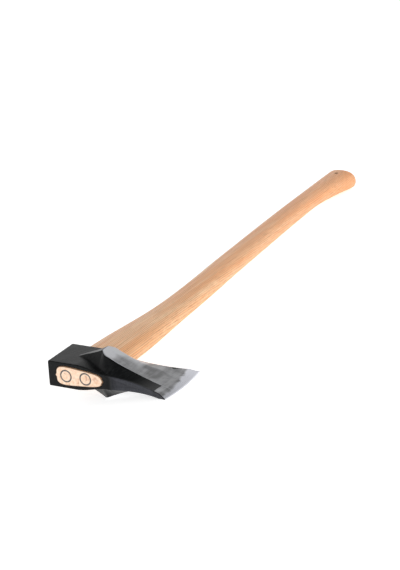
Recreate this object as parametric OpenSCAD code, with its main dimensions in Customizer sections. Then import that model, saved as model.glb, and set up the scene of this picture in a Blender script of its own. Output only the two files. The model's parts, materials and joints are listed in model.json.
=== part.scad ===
// Splitting maul: a forged head on a swept hardwood handle, locked by two round steel wedges.
// The design frame has X from the poll to the cutting edge, Y along the handle from the
// head to the knob, and Z through the thickness. Its origin is the middle of the eye, level
// with the face of the head that the handle's end shows in.
// at_rest() lays the finished tool on the floor as it really lies: on one wing, the cutting
// edge near its heel and the knob, with the floor at Z = 0.

/* [Overall] */
// Length of the whole tool, from the eye face of the head to the end of the knob
total_length = 890; // [700:5:1100]

/* [Head] */
// Height of the head along the handle, at the eye
head_height = 64; // [52:1:80]
// Distance from the middle of the eye back to the poll's striking face
poll_reach = 48; // [43:1:58]
// Thickness of the poll and of the rear of the eye
poll_thickness = 36; // [32:0.5:46]
// Distance from the middle of the eye out to the middle of the cutting edge
edge_reach = 145; // [118:1:180]
// How far the toe of the edge drops past the eye face
toe_drop = 20; // [0:1:32]
// How far the heel of the edge drops past the handle face
heel_drop = 13; // [0:1:26]
// How far the middle of the cutting edge bows out past its two corners
edge_bow = 4.5; // [0.5:0.5:10]
// Thickness of the blunt cutting edge
edge_thickness = 0.8; // [0.4:0.1:2]
// Thickness of the blade where the final bevel starts
bevel_thickness = 8; // [4:0.2:12]
// Width of the final bevel
bevel_width = 14; // [6:0.5:20]
// Chamfer round the striking face and along the block's long corners
head_chamfer = 1.5; // [0.5:0.1:2.5]

/* [Wings] */
// Span across the two wings
wing_span = 69; // [56:1:90]
// Distance from the middle of the eye forward to the wing ridges
wing_x = 24.5; // [16:0.5:34]
// Length of each wing's ridge
ridge_length = 15; // [8:0.5:24]
// Distance from the middle of the eye back to where the wings grow out of the cheeks
wing_root = 16; // [6:0.5:26]
// Width of the ground face just in front of the ridge
fan_waist = 28; // [20:0.5:36]
// Thickness of the blade's narrow eye side, just in front of the eye
throat_thickness = 20.6; // [16:0.2:26]

/* [Eye] */
// Length of the eye at the eye face, without the small noses at its ends
eye_length = 70; // [60:0.5:76]
// Width of the eye at the eye face, across its middle
eye_width = 24.2; // [18:0.2:27]
// How much wider the eye is towards its rear end than towards its front end
eye_egg = 12; // [0:0.5:14]
// How far the rounded nose at each end of the eye stands out of its outline
eye_nose = 1.5; // [0.5:0.1:2.5]
// How much smaller the eye is at the handle face, as a share of its size
eye_taper = 0.05; // [0:0.01:0.1]
// Gap all round between the handle's tongue and the eye
eye_gap = 0.1; // [0.05:0.05:0.3]
// How far the tongue's end stands out of the eye face
tongue_proud = 0.6; // [0:0.1:3]

/* [Ring wedges] */
// Wood left between a round wedge and each side of the eye, measured at the eye's middle
ring_wood = 3.1; // [2.5:0.1:5]
// Depth that each round wedge is driven in
ring_depth = 22; // [10:1:35]
// Wall of a round wedge at its flat end
ring_wall = 2; // [1.2:0.1:3]
// Wall of a round wedge at its driven end
ring_tip = 0.6; // [0.3:0.1:1]
// Distance from the middle of the eye back to the rear wedge
ring_back = 20; // [16:0.5:24]
// Distance from the middle of the eye forward to the front wedge
ring_front = 10; // [6:0.5:14]
// Gap between a round wedge and the wood round it
ring_gap = 0.05; // [0.02:0.01:0.2]

/* [Handle] */
// Width of the handle at its shoulder, where the head seats
shoulder_width = 71; // [62:0.5:78]
// Thickness of the handle at its shoulder
shoulder_thickness = 30.5; // [28:0.5:34]
// Distance from the shoulder in which two thirds of its extra width is gone
taper_length = 130; // [90:2:200]
// Width of the handle below that taper, before it narrows steadily towards the knob
belly_width = 52; // [46:0.5:60]
// How much thinner the handle is at its waist, a third of the way down, than at the grip
waist_dip = 1; // [0:0.5:5]
// Width that the grip narrows to at the knob
grip_width = 35; // [30:0.5:44]
// Thickness of the grip
grip_thickness = 27; // [22:0.5:32]
// Width of the knob at the end
knob_width = 53; // [44:0.5:66]
// Thickness of the knob at the end
knob_thickness = 34.5; // [30:0.5:44]
// Length over which the grip flares into the knob
knob_flare = 130; // [80:1:160]
// How far the grip sweeps back towards the poll side
grip_sweep = 27.5; // [10:0.5:40]
// How far the handle leans forward between the shoulder and the sweep
forward_lean = 3.2; // [0:0.1:6]
// Rounding of the knob's end
knob_round = 5.5; // [3:0.5:10]
// Diameter of the hanging hole through the knob
hang_diameter = 5; // [4:0.5:10]
// Distance from the hanging hole to the end of the knob
hang_inset = 21; // [14:0.5:30]

/* [Hidden] */

MID_Y = head_height / 2;
POLL_HALF = poll_thickness / 2;
WING_HALF = wing_span / 2;
THROAT_HALF = throat_thickness / 2;
BEVEL_HALF = bevel_thickness / 2;
EDGE_HALF = edge_thickness / 2;
BEVEL_X = edge_reach - bevel_width;
RING_DIAMETER = eye_width - 2 * ring_wood;
// the block's cheeks thin from the poll's thickness to the throat's over the front of the eye
CHEEK_START = -6;
THROAT_X = eye_length / 2 + 9;
// power by which the blade's narrow sides thin from the throat to the bevel, and their
// thickness as a share of the blade's middle where the bevel starts and at the edge
SIDE_POWER = 1.35;
SIDE_AT_BEVEL = 0.96;
SIDE_AT_EDGE = 0.9;
// the narrow sides of the blade sweep out to the toe and the heel from here
SWEEP_X = THROAT_X + (edge_reach - THROAT_X) * 0.18;
// the corner of the ground face opens from the ridge to the waist over this length
WAIST_LEAD = 9;
// the ground face keeps its waist up to here and then opens towards the edge
FLARE_X = wing_x + (BEVEL_X - wing_x) * 0.42;
// how far the ground face has opened on each side where the bevel starts
FLARE_HALF = 11;
// power of the blade's hollow profile and of the ground face's flare
HOLLOW = 1.9;
FLARE_POWER = 1.7;
// width of each wing's narrow rear face where it leaves the cheek
ROOT_HALF = 2.5;
// outlines of the head along the wing's rear, its ridge corner, the blade and the bevel, and
// steps across the wing's top in each outline
REAR_STEPS = 6;
CORNER_STEPS = 4;
BLADE_STEPS = 14;
BEVEL_STEPS = 3;
FAN_STEPS = 8;
// how far the shoulder sits back of the eye's middle, and where the long sweep starts
SHOULDER_SET = 1;
SWEEP_START = head_height + 96;
SHOULDER_CHAMFER = 1.5;
TAPER_POWER = 2.5;
FLARE_CURVE = 1.55;
// the waist's thinning spans this far down from the shoulder
DIP_SPAN = 520;
// the forward lean spans this far down from the shoulder
LEAN_SPAN = 370;
// power of the handle's rounded outline: 2 is an ellipse
OVAL = 2.3;
HANDLE_SIDES = 36;
LONG_STEPS = 30;
FLARE_STEPS = 7;
ROUND_STEP = 18;
EYE_SIDES = 48;
NOSE_RADIUS = 3;
// how deep the tongue's root reaches into the handle, and how far cutters pass a face
TONGUE_ROOT = 6;
CUT_OVER = 2;
// the smallest step between neighbouring points of one outline
STEP = 0.4;

function lerp(a, b, t) = a + (b - a) * t;
function clamp01(t) = min(1, max(0, t));
function ease(t) = (1 - cos(180 * clamp01(t))) / 2;
function share(x, from, to) = clamp01((x - from) / (to - from));

// half thickness of the narrow eye and handle sides at x
function side_half(x) =
    x <= THROAT_X
        ? lerp(POLL_HALF, THROAT_HALF, ease(share(x, CHEEK_START, THROAT_X)))
        : x <= BEVEL_X
            ? lerp(BEVEL_HALF * SIDE_AT_BEVEL, THROAT_HALF,
                pow(1 - share(x, THROAT_X, BEVEL_X), SIDE_POWER))
            : lerp(BEVEL_HALF * SIDE_AT_BEVEL, EDGE_HALF * SIDE_AT_EDGE,
                share(x, BEVEL_X, edge_reach));
// half thickness of the blade along its middle at x: the straight rear of the wing, then the
// hollow ground face, then the bevel
function wing_half(x) =
    x <= wing_x
        ? lerp(side_half(x), WING_HALF, share(x, -wing_root, wing_x))
        : x <= BEVEL_X
            ? lerp(BEVEL_HALF, WING_HALF, pow(1 - share(x, wing_x, BEVEL_X), HOLLOW))
            : lerp(BEVEL_HALF, EDGE_HALF, share(x, BEVEL_X, edge_reach));
// half length, along the handle, of the wing's top at x
function fan_half(x) =
    x <= wing_x
        ? lerp(ROOT_HALF, ridge_length / 2, share(x, -wing_root, wing_x))
        : lerp(ridge_length / 2, fan_waist / 2, sin(90 * share(x, wing_x, wing_x + WAIST_LEAD)))
            + FLARE_HALF * pow(share(x, FLARE_X, BEVEL_X), FLARE_POWER);
// the eye side and the handle side of the outline at x
function sweep(x) = pow(share(x, SWEEP_X, edge_reach), 2);
function eye_side(x) = -toe_drop * sweep(x);
function handle_side(x) = head_height + heel_drop * sweep(x);
// where the wing's steep side meets the cheek at x, as a distance from the middle height
function foot_half(x, reach) =
    lerp(ROOT_HALF + STEP, reach - head_chamfer - STEP, share(x, -wing_root, THROAT_X));
// the cutting edge bows: points away from its middle move back, more so near the edge
function bowed(x, y) =
    let (
        centre = (heel_drop - toe_drop) / 2 + MID_Y,
        reach = (head_height + heel_drop + toe_drop) / 2,
        off = (y - centre) / reach
    )
    x - edge_bow * off * off * share(x, SWEEP_X, edge_reach);
// one closed outline of the head at x: the upper half from the eye side to the handle side,
// then the lower half back again
function head_half(x, inset = 0) =
    let (
        a = eye_side(x) + inset,
        b = handle_side(x) - inset,
        side = side_half(x) - inset,
        top = max(wing_half(x) - inset, side),
        cut = min(head_chamfer, side * 0.5),
        fan = fan_half(x),
        foot_a = min(MID_Y - foot_half(x, MID_Y - a), MID_Y - fan - STEP),
        foot_b = max(MID_Y + foot_half(x, b - MID_Y), MID_Y + fan + STEP),
        shelf_a = max(foot_a, a + cut + STEP),
        shelf_b = min(foot_b, b - cut - STEP)
    )
    concat(
        [[a, side - cut], [a + cut, side], [shelf_a, side]],
        [for (i = [0:FAN_STEPS]) [lerp(MID_Y - fan, MID_Y + fan, i / FAN_STEPS), top]],
        [[shelf_b, side], [b - cut, side], [b, side - cut]]
    );
function head_ring(x, inset = 0, shift = 0) =
    let (half = head_half(x, inset), n = len(half))
    concat(
        [for (p = half) [bowed(x, p[0]) + shift, p[0], p[1]]],
        [for (i = [n - 1:-1:0]) [bowed(x, half[i][0]) + shift, half[i][0], -half[i][1]]]
    );
function head_rings() = concat(
    [head_ring(-poll_reach, head_chamfer)],
    [head_ring(-poll_reach + head_chamfer)],
    [for (x = [-(poll_reach + wing_root) / 2, -wing_root]) head_ring(x)],
    [for (i = [1:REAR_STEPS]) head_ring(lerp(-wing_root, wing_x, i / REAR_STEPS))],
    [for (i = [1:CORNER_STEPS]) head_ring(wing_x + WAIST_LEAD * i / CORNER_STEPS)],
    [for (i = [1:BLADE_STEPS]) head_ring(lerp(wing_x + WAIST_LEAD, BEVEL_X, i / BLADE_STEPS))],
    [for (i = [1:BEVEL_STEPS]) head_ring(lerp(BEVEL_X, edge_reach, i / BEVEL_STEPS))]
);

// middle, width and thickness of the handle at y: the shoulder's taper dies away into a grip
// that narrows steadily, swept back in one S curve, and a knob flares towards the edge side
function taper(y) = exp(-pow((y - head_height) / taper_length, TAPER_POWER));
function flare(y) = pow(share(y, total_length - knob_flare, total_length), FLARE_CURVE);
function dip(y) = waist_dip * sin(180 * share(y, head_height, head_height + DIP_SPAN));
function grip(y) =
    lerp(belly_width, grip_width, share(y, head_height, total_length - knob_flare));
function lean(y) = forward_lean * sin(180 * share(y, head_height, head_height + LEAN_SPAN));
function handle_width(y) =
    lerp(grip(y), shoulder_width, taper(y)) + (knob_width - grip_width) * flare(y);
function handle_thickness(y) =
    lerp(grip_thickness, shoulder_thickness, taper(y)) - dip(y)
        + (knob_thickness - grip_thickness) * flare(y);
function handle_middle(y) =
    lean(y) - lerp(SHOULDER_SET, grip_sweep, ease(share(y, SWEEP_START, total_length)))
        + (knob_width - grip_width) / 2 * flare(y);
// one rounded outline of the handle at y, drawn in by inset
function rounded(v) = sign(v) * pow(abs(v), 2 / OVAL);
function handle_ring(y, inset = 0) =
    let (a = handle_width(y) / 2 - inset, b = handle_thickness(y) / 2 - inset)
    [for (i = [0:HANDLE_SIDES - 1])
        let (t = 360 * (i + 0.5) / HANDLE_SIDES)
        [handle_middle(y) + a * rounded(cos(t)), y, b * rounded(sin(t))]];
function handle_rings() =
    let (straight = total_length - knob_round, flare_start = total_length - knob_flare)
    concat(
        [handle_ring(head_height, SHOULDER_CHAMFER)],
        [handle_ring(head_height + SHOULDER_CHAMFER)],
        [for (i = [1:LONG_STEPS])
            handle_ring(lerp(head_height + SHOULDER_CHAMFER, flare_start, i / LONG_STEPS))],
        [for (i = [1:FLARE_STEPS]) handle_ring(lerp(flare_start, straight, i / FLARE_STEPS))],
        [for (a = [ROUND_STEP:ROUND_STEP:90])
            handle_ring(straight + knob_round * sin(a), knob_round * (1 - cos(a)))]
    );

// How the tool lies. The floor touches the far end of the lower wing's ridge, the cutting edge
// near its heel and the underside of the knob. The last two are the lowest points along the
// normal of a first guess at the floor, through the heel's corner and the knob's middle.
function flat(lists) = [for (l = lists) each l];
HEAD_RINGS = head_rings();
HANDLE_RINGS = handle_rings();
ALL_POINTS = concat(flat(HEAD_RINGS), flat(HANDLE_RINGS));
RIDGE_END = [wing_x, MID_Y + ridge_length / 2, -WING_HALF];
EDGE_RING = HEAD_RINGS[len(HEAD_RINGS) - 1];
HEEL_CORNER = EDGE_RING[len(EDGE_RING) / 2 + 1];
KNOB_MIDDLE = [handle_middle(total_length), total_length - knob_round, -knob_thickness / 2];
function lowest(points, up) =
    let (heights = [for (p = points) p * up])
    points[search(min(heights), heights)[0]];
function normal(a, b, c) =
    let (n = cross(b - a, c - a))
    n * sign(n[2]) / norm(n);
FIRST_UP = normal(RIDGE_END, HEEL_CORNER, KNOB_MIDDLE);
EDGE_FOOT = lowest(EDGE_RING, FIRST_UP);
KNOB_FOOT = lowest(flat(HANDLE_RINGS), FIRST_UP);
FLOOR_UP = normal(RIDGE_END, EDGE_FOOT, KNOB_FOOT);
TURN_X = atan2(FLOOR_UP[1], FLOOR_UP[2]);
TURN_Y = -atan2(FLOOR_UP[0], norm([FLOOR_UP[1], FLOOR_UP[2]]));
// where the turns take a point: about X, then about Y
function turned(p) =
    let (
        y = p[1] * cos(TURN_X) - p[2] * sin(TURN_X),
        z = p[1] * sin(TURN_X) + p[2] * cos(TURN_X)
    )
    [p[0] * cos(TURN_Y) + z * sin(TURN_Y), y, -p[0] * sin(TURN_Y) + z * cos(TURN_Y)];
LYING = [for (p = ALL_POINTS) turned(p)];
LYING_X = [for (p = LYING) p[0]];
LYING_Y = [for (p = LYING) p[1]];
LYING_Z = [for (p = LYING) p[2]];
SHIFT = [
    -(min(LYING_X) + max(LYING_X)) / 2,
    -(min(LYING_Y) + max(LYING_Y)) / 2,
    -min(LYING_Z)
];

// lays what is drawn in the design frame on the floor
module at_rest() {
    translate(SHIFT) rotate([TURN_X, TURN_Y, 0]) children();
}

// a closed skin over rings of points; each ring's second half runs back along its first
module skin(rings) {
    n = len(rings[0]);
    m = len(rings);
    walls = [for (i = [0:m - 2], j = [0:n - 1])
        let (a = i * n + j, b = i * n + (j + 1) % n)
        each [[a, b, b + n], [a, b + n, a + n]]];
    caps = [for (j = [0:n / 2 - 2])
        let (a = j, b = j + 1, c = n - 2 - j, d = n - 1 - j, top = (m - 1) * n)
        each [[a, c, b], [a, d, c], [top + a, top + b, top + c], [top + a, top + c, top + d]]];
    polyhedron(flat(rings), concat(walls, caps));
}

// outline of the eye at the eye face, drawn in by gap: an egg with a nose at each end
module eye_outline(gap = 0) {
    a = eye_length / 2 - gap;
    polygon([for (i = [0:EYE_SIDES - 1])
        let (
            t = 360 * i / EYE_SIDES,
            x = a * sign(cos(t)) * sqrt(abs(cos(t))),
            half = eye_width / 2 - gap - eye_egg / 4 * x / a
        )
        [x, half * sign(sin(t)) * sqrt(abs(sin(t)))]]);
    for (side = [-1, 1])
        translate([side * (eye_length / 2 + eye_nose - NOSE_RADIUS), 0])
            circle(NOSE_RADIUS - gap, $fn = 24);
}
// the eye's tapered prism from one height along the handle to another
module eye_prism(from, to, gap = 0) {
    start = 1 - eye_taper * from / head_height;
    finish = 1 - eye_taper * to / head_height;
    translate([0, from, 0])
        rotate([-90, 0, 0])
            linear_extrude(height = to - from, scale = finish / start)
                scale(start)
                    eye_outline(gap);
}

// a round wedge, or with a gap the groove that it fills, going down from the tongue's end
module ring_shape(x, gap = 0) {
    outer = RING_DIAMETER / 2 + gap;
    translate([x, -tongue_proud, 0])
        rotate([-90, 0, 0])
            rotate_extrude($fn = 64)
                polygon([
                    [outer, -gap],
                    [outer, ring_depth + gap],
                    [RING_DIAMETER / 2 - ring_tip - gap, ring_depth + gap],
                    [RING_DIAMETER / 2 - ring_wall - gap, -gap]
                ]);
}

module head() {
    color("dimgray") at_rest() difference() {
        skin(HEAD_RINGS);
        eye_prism(-CUT_OVER, head_height + CUT_OVER);
    }
}

module handle() {
    color("burlywood") at_rest() difference() {
        union() {
            skin(HANDLE_RINGS);
            eye_prism(-tongue_proud, head_height + TONGUE_ROOT, eye_gap);
        }
        for (x = [-ring_back, ring_front]) ring_shape(x, ring_gap);
        translate([handle_middle(total_length - hang_inset), total_length - hang_inset, 0])
            cylinder(h = knob_thickness + 2 * CUT_OVER, d = hang_diameter, center = true, $fn = 48);
    }
}

module ring_wedge_rear() {
    color("silver") at_rest() ring_shape(-ring_back);
}

module ring_wedge_front() {
    color("silver") at_rest() ring_shape(ring_front);
}

head();
handle();
ring_wedge_rear();
ring_wedge_front();
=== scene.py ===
"""Splitting maul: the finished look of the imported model, laid on a pale floor in soft light.

Shapes are worked out in the tool's own design frame, in metres: X from the poll to the cutting
edge, Y along the handle from the head to the knob, Z through the thickness, with the origin in
the middle of the eye at the eye face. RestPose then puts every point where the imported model
lies, so each object stays at the scene's origin and its place is in its mesh.
"""

import json
import logging
import math
from dataclasses import dataclass, field
from enum import Enum
from functools import cached_property

import bmesh
import bpy
import numpy as np
from mathutils import Matrix

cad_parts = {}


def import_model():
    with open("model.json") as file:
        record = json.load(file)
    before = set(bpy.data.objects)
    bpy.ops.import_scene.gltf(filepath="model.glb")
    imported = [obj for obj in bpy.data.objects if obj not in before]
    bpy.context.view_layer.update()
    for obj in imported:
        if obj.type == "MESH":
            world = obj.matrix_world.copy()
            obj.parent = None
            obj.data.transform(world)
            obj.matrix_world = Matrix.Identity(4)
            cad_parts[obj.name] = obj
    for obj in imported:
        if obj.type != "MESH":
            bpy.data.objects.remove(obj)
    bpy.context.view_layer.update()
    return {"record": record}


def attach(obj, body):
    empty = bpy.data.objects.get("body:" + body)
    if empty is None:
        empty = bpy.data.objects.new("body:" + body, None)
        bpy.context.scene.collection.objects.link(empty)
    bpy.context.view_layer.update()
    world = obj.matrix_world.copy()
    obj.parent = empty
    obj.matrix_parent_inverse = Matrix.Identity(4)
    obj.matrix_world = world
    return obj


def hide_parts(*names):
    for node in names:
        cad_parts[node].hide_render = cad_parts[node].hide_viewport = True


log = logging.getLogger("maul")

MM = 0.001
ROOT_BODY = "root"
SHARP_ANGLE = math.radians(36)
# how far a cutter runs past the face that it opens
CUT_PAST = 3 * MM
# the distance from the eye's rim that is stored wherever the rim isn't near
FAR = 30 * MM
WHITE = (1.0, 1.0, 1.0)

Socket = bpy.types.NodeSocket
Triple = tuple[float, float, float]
Colour = Triple


class Slot(Enum):
    """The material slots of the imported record."""

    HEAD = "head_paint"
    HANDLE = "handle_wood"
    WEDGE = "wedge_steel"


def share(x: np.ndarray, start: float, end: float) -> np.ndarray:
    """How far x has come from start to end, held between 0 and 1."""
    return np.clip((np.asarray(x, float) - start) / (end - start), 0.0, 1.0)


def lerp(a: np.ndarray, b: np.ndarray, t: np.ndarray) -> np.ndarray:
    """a plus t times the way from a to b."""
    return a + (b - a) * t


def ease(t: np.ndarray) -> np.ndarray:
    """Half a cosine wave: 0 to 1 with level ends."""
    return (1.0 - np.cos(math.pi * np.clip(t, 0.0, 1.0))) / 2.0


def soft_min(a: np.ndarray, b: np.ndarray, radius: float) -> np.ndarray:
    """The smaller of a and b, with the corner between them rounded off.

    Args:
        a: First height.
        b: Second height.
        radius: Difference between them below which the corner is rounded.

    Returns:
        min(a, b) minus h squared times the radius over 4, where h is one less the difference
        over the radius, held at 0.
    """
    h = np.clip(1.0 - np.abs(a - b) / radius, 0.0, 1.0)
    return np.minimum(a, b) - h * h * radius / 4.0


def spaced(stops: list[float], counts: list[int]) -> np.ndarray:
    """Points in even steps between neighbouring stops.

    Args:
        stops: Increasing values.
        counts: Steps from each stop to the next.

    Returns:
        All the points, each stop once.
    """
    parts = [np.linspace(a, b, n, endpoint=False) for a, b, n in zip(stops, stops[1:], counts)]
    return np.concatenate(parts + [np.array(stops[-1:])])


@dataclass(frozen=True)
class RestPose:
    """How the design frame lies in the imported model's frame.

    Its axes come from the record's mounts: the poll face looks along -X, and the hanging hole
    runs along Z. The middle of the poll face fixes its place.
    """

    origin: np.ndarray
    axes: np.ndarray

    @classmethod
    def from_record(cls, record: dict, poll_middle: np.ndarray) -> "RestPose":
        """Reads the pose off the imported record.

        Args:
            record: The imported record.
            poll_middle: The middle of the poll face in the design frame.

        Returns:
            The pose.
        """
        mounts = {mount["name"]: mount for mount in record["mounts"]}
        x = -np.array(mounts["poll_face"]["axis"], float)
        z = np.array(mounts["hang_hole"]["axis"], float)
        x /= np.linalg.norm(x)
        z -= x * (z @ x)
        z /= np.linalg.norm(z)
        axes = np.stack([x, np.cross(z, x), z])
        origin = np.array(mounts["poll_face"]["pos_m"], float) - poll_middle @ axes
        return cls(origin, axes)

    def place(self, points: np.ndarray) -> np.ndarray:
        """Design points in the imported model's frame."""
        return points @ self.axes + self.origin

    def turn(self, direction: np.ndarray) -> np.ndarray:
        """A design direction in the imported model's frame."""
        return np.asarray(direction, float) @ self.axes


def linked(name: str, data: bpy.types.ID) -> bpy.types.Object:
    """A new object for the data, linked to the scene."""
    made = bpy.data.objects.new(name, data)
    bpy.context.scene.collection.objects.link(made)
    return made


def closed_skin(name: str, rings: np.ndarray, joined: bool = False) -> bpy.types.Object:
    """Makes a closed object over rings of points, with all faces looking out.

    Each ring is its own mirror image, point k matching point n - k, so an end is closed by
    faces that run straight across from each point to its match.

    Args:
        name: The object's name.
        rings: Rows by columns by 3; each row runs once round.
        joined: Whether the last ring joins the first, as on a torus, in place of ends.

    Returns:
        The new object, still in the design frame.
    """
    rows, cols, _ = rings.shape
    index = np.arange(rows * cols).reshape(rows, cols)
    first = index if joined else index[:-1]
    following = np.roll(index, -1, 0) if joined else index[1:]
    quads = np.stack([first, following, np.roll(following, -1, 1), np.roll(first, -1, 1)], -1)
    faces = quads.reshape(-1, 4).tolist()
    if not joined:
        for end in (index[0], index[-1]):
            near, far = end[: cols // 2 + 1], np.roll(end[::-1], 1)[: cols // 2 + 1]
            across = np.stack([near[:-1], near[1:], far[1:], far[:-1]], -1).tolist()
            faces += [list(dict.fromkeys(face)) for face in across]
    mesh = bpy.data.meshes.new(name)
    mesh.from_pydata(rings.reshape(-1, 3).tolist(), [], faces)
    work = bmesh.new()
    work.from_mesh(mesh)
    bmesh.ops.recalc_face_normals(work, faces=work.faces)
    work.to_mesh(mesh)
    work.free()
    return linked(name, mesh)


def coordinates(mesh: bpy.types.Mesh) -> np.ndarray:
    """All vertex places of a mesh, as rows of three."""
    co = np.empty(len(mesh.vertices) * 3, np.float32)
    mesh.vertices.foreach_get("co", co)
    return co.reshape(-1, 3).astype(float)


def set_coordinates(mesh: bpy.types.Mesh, points: np.ndarray) -> None:
    """Writes all vertex places of a mesh."""
    mesh.vertices.foreach_set("co", points.astype(np.float32).ravel())
    mesh.update()


def store(mesh: bpy.types.Mesh, name: str, values: np.ndarray) -> None:
    """Stores a number, or a point, for each vertex, in millimetres, for a material to read.

    Args:
        mesh: The mesh.
        name: The attribute's name.
        values: One number or one row of three for each vertex, in metres.
    """
    kind, key = ("FLOAT", "value") if values.ndim == 1 else ("FLOAT_VECTOR", "vector")
    layer = mesh.attributes.new(name, kind, "POINT")
    layer.data.foreach_set(key, (values / MM).astype(np.float32).ravel())


def cut(piece: bpy.types.Object, tools: list[bpy.types.Object]) -> None:
    """Takes each tool's shape out of the piece and deletes the tool.

    Args:
        piece: The piece that is cut.
        tools: Closed objects that are cut away.
    """
    for tool in tools:
        modifier = piece.modifiers.new("cut", "BOOLEAN")
        modifier.operation = "DIFFERENCE"
        modifier.solver = "EXACT"
        modifier.object = tool
    graph = bpy.context.evaluated_depsgraph_get()
    mesh = bpy.data.meshes.new_from_object(piece.evaluated_get(graph))
    piece.modifiers.clear()
    old = piece.data
    piece.data = mesh
    mesh.name = old.name
    bpy.data.meshes.remove(old)
    for tool in tools:
        data = tool.data
        bpy.data.objects.remove(tool)
        bpy.data.meshes.remove(data)


def place_piece(
    piece: bpy.types.Object, pose: RestPose, node: str, look: bpy.types.Material
) -> None:
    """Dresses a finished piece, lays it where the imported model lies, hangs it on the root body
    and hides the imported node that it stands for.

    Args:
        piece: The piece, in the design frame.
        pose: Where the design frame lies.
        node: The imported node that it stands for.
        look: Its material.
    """
    mesh = piece.data
    design = coordinates(mesh)
    store(mesh, "design", design)
    set_coordinates(mesh, pose.place(design))
    mesh.shade_smooth()
    mesh.set_sharp_from_angle(angle=SHARP_ANGLE)
    mesh.materials.clear()
    mesh.materials.append(look)
    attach(piece, ROOT_BODY)
    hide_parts(node)
    log.info("%s: %d faces", piece.name, len(mesh.polygons))


def round_corners(corners: np.ndarray, reach: np.ndarray, arc: int, runs: list[int]) -> np.ndarray:
    """A closed outline with its corners rounded, for many outlines at once.

    Each corner becomes a quadratic curve that starts and ends on its two sides, at the corner's
    reach or at 45 hundredths of the side, whichever is less. Straight runs between two curves
    are cut into even steps.

    Args:
        corners: Outlines by corners by 2.
        reach: Outlines by corners: how far from the corner the curve starts.
        arc: Steps in each corner's curve.
        runs: Steps in the straight run after each corner.

    Returns:
        Outlines by points by 2.
    """
    after = np.roll(corners, -1, axis=1) - corners
    length_after = np.linalg.norm(after, axis=2)
    length_before = np.roll(length_after, 1, axis=1)
    before = -np.roll(after, 1, axis=1)
    near = np.minimum(reach, 0.45 * np.minimum(length_after, length_before))
    start = corners + before * (near / np.maximum(length_before, 1e-9))[..., None]
    end = corners + after * (near / np.maximum(length_after, 1e-9))[..., None]
    t = np.linspace(0.0, 1.0, arc + 1)[None, None, :, None]
    leaving, arriving = (1 - t) ** 2 * start[:, :, None], t**2 * end[:, :, None]
    curves = leaving + 2 * t * (1 - t) * corners[:, :, None] + arriving
    following = np.roll(start, -1, axis=1)
    parts = []
    for corner, steps in enumerate(runs):
        parts.append(curves[:, corner])
        s = (np.arange(1, steps) / steps)[None, :, None]
        parts.append(lerp(end[:, corner, None], following[:, corner, None], s))
    return np.concatenate(parts, axis=1)


@dataclass
class Eye:
    """The egg-shaped eye with a small nose at each end, and the tongue that fills it."""

    length: float = 70 * MM
    width: float = 24.2 * MM
    egg: float = 12 * MM
    taper: float = 0.05
    nose: float = 1.5 * MM
    nose_half_width: float = 3 * MM
    gap: float = 0.1 * MM
    rim: float = 0.8 * MM
    sides: int = 144

    def outline(self, grow: float) -> np.ndarray:
        """The eye's outline at the eye face, once round from the front end, in even steps.

        The angle t gives x as half the length times the root of its cosine, and z as the half
        width there times the root of its sine, which makes a flat-sided oval; the half width
        falls evenly from the rear to the front. Half a cosine wave lifts each end into a nose.

        Args:
            grow: Distance that the outline is moved outwards.

        Returns:
            Points by 2: x and z.
        """
        t = np.linspace(0.0, 2 * math.pi, 60 * self.sides + 1)
        reach = self.length / 2 + grow
        x = reach * np.sign(np.cos(t)) * np.sqrt(np.abs(np.cos(t)))
        half = self.width / 2 + grow - self.egg / 4 * x / reach
        z = half * np.sign(np.sin(t)) * np.sqrt(np.abs(np.sin(t)))
        bump = ease(1 - np.abs(z) / self.nose_half_width)
        x = x + np.sign(x) * self.nose * bump * share(np.abs(x), reach * 0.85, reach)
        walked = np.concatenate([[0.0], np.cumsum(np.hypot(np.diff(x), np.diff(z)))])
        even = np.linspace(0.0, walked[-1], self.sides, endpoint=False)
        return np.stack([np.interp(even, walked, x), np.interp(even, walked, z)], axis=1)

    def ring(self, y: float, head_height: float, grow: float) -> np.ndarray:
        """The outline at one depth in the head, as points by 3."""
        flat = self.outline(grow) * (1 - self.taper * y / head_height)
        return np.stack([flat[:, 0], np.full(len(flat), y), flat[:, 1]], axis=1)


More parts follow.
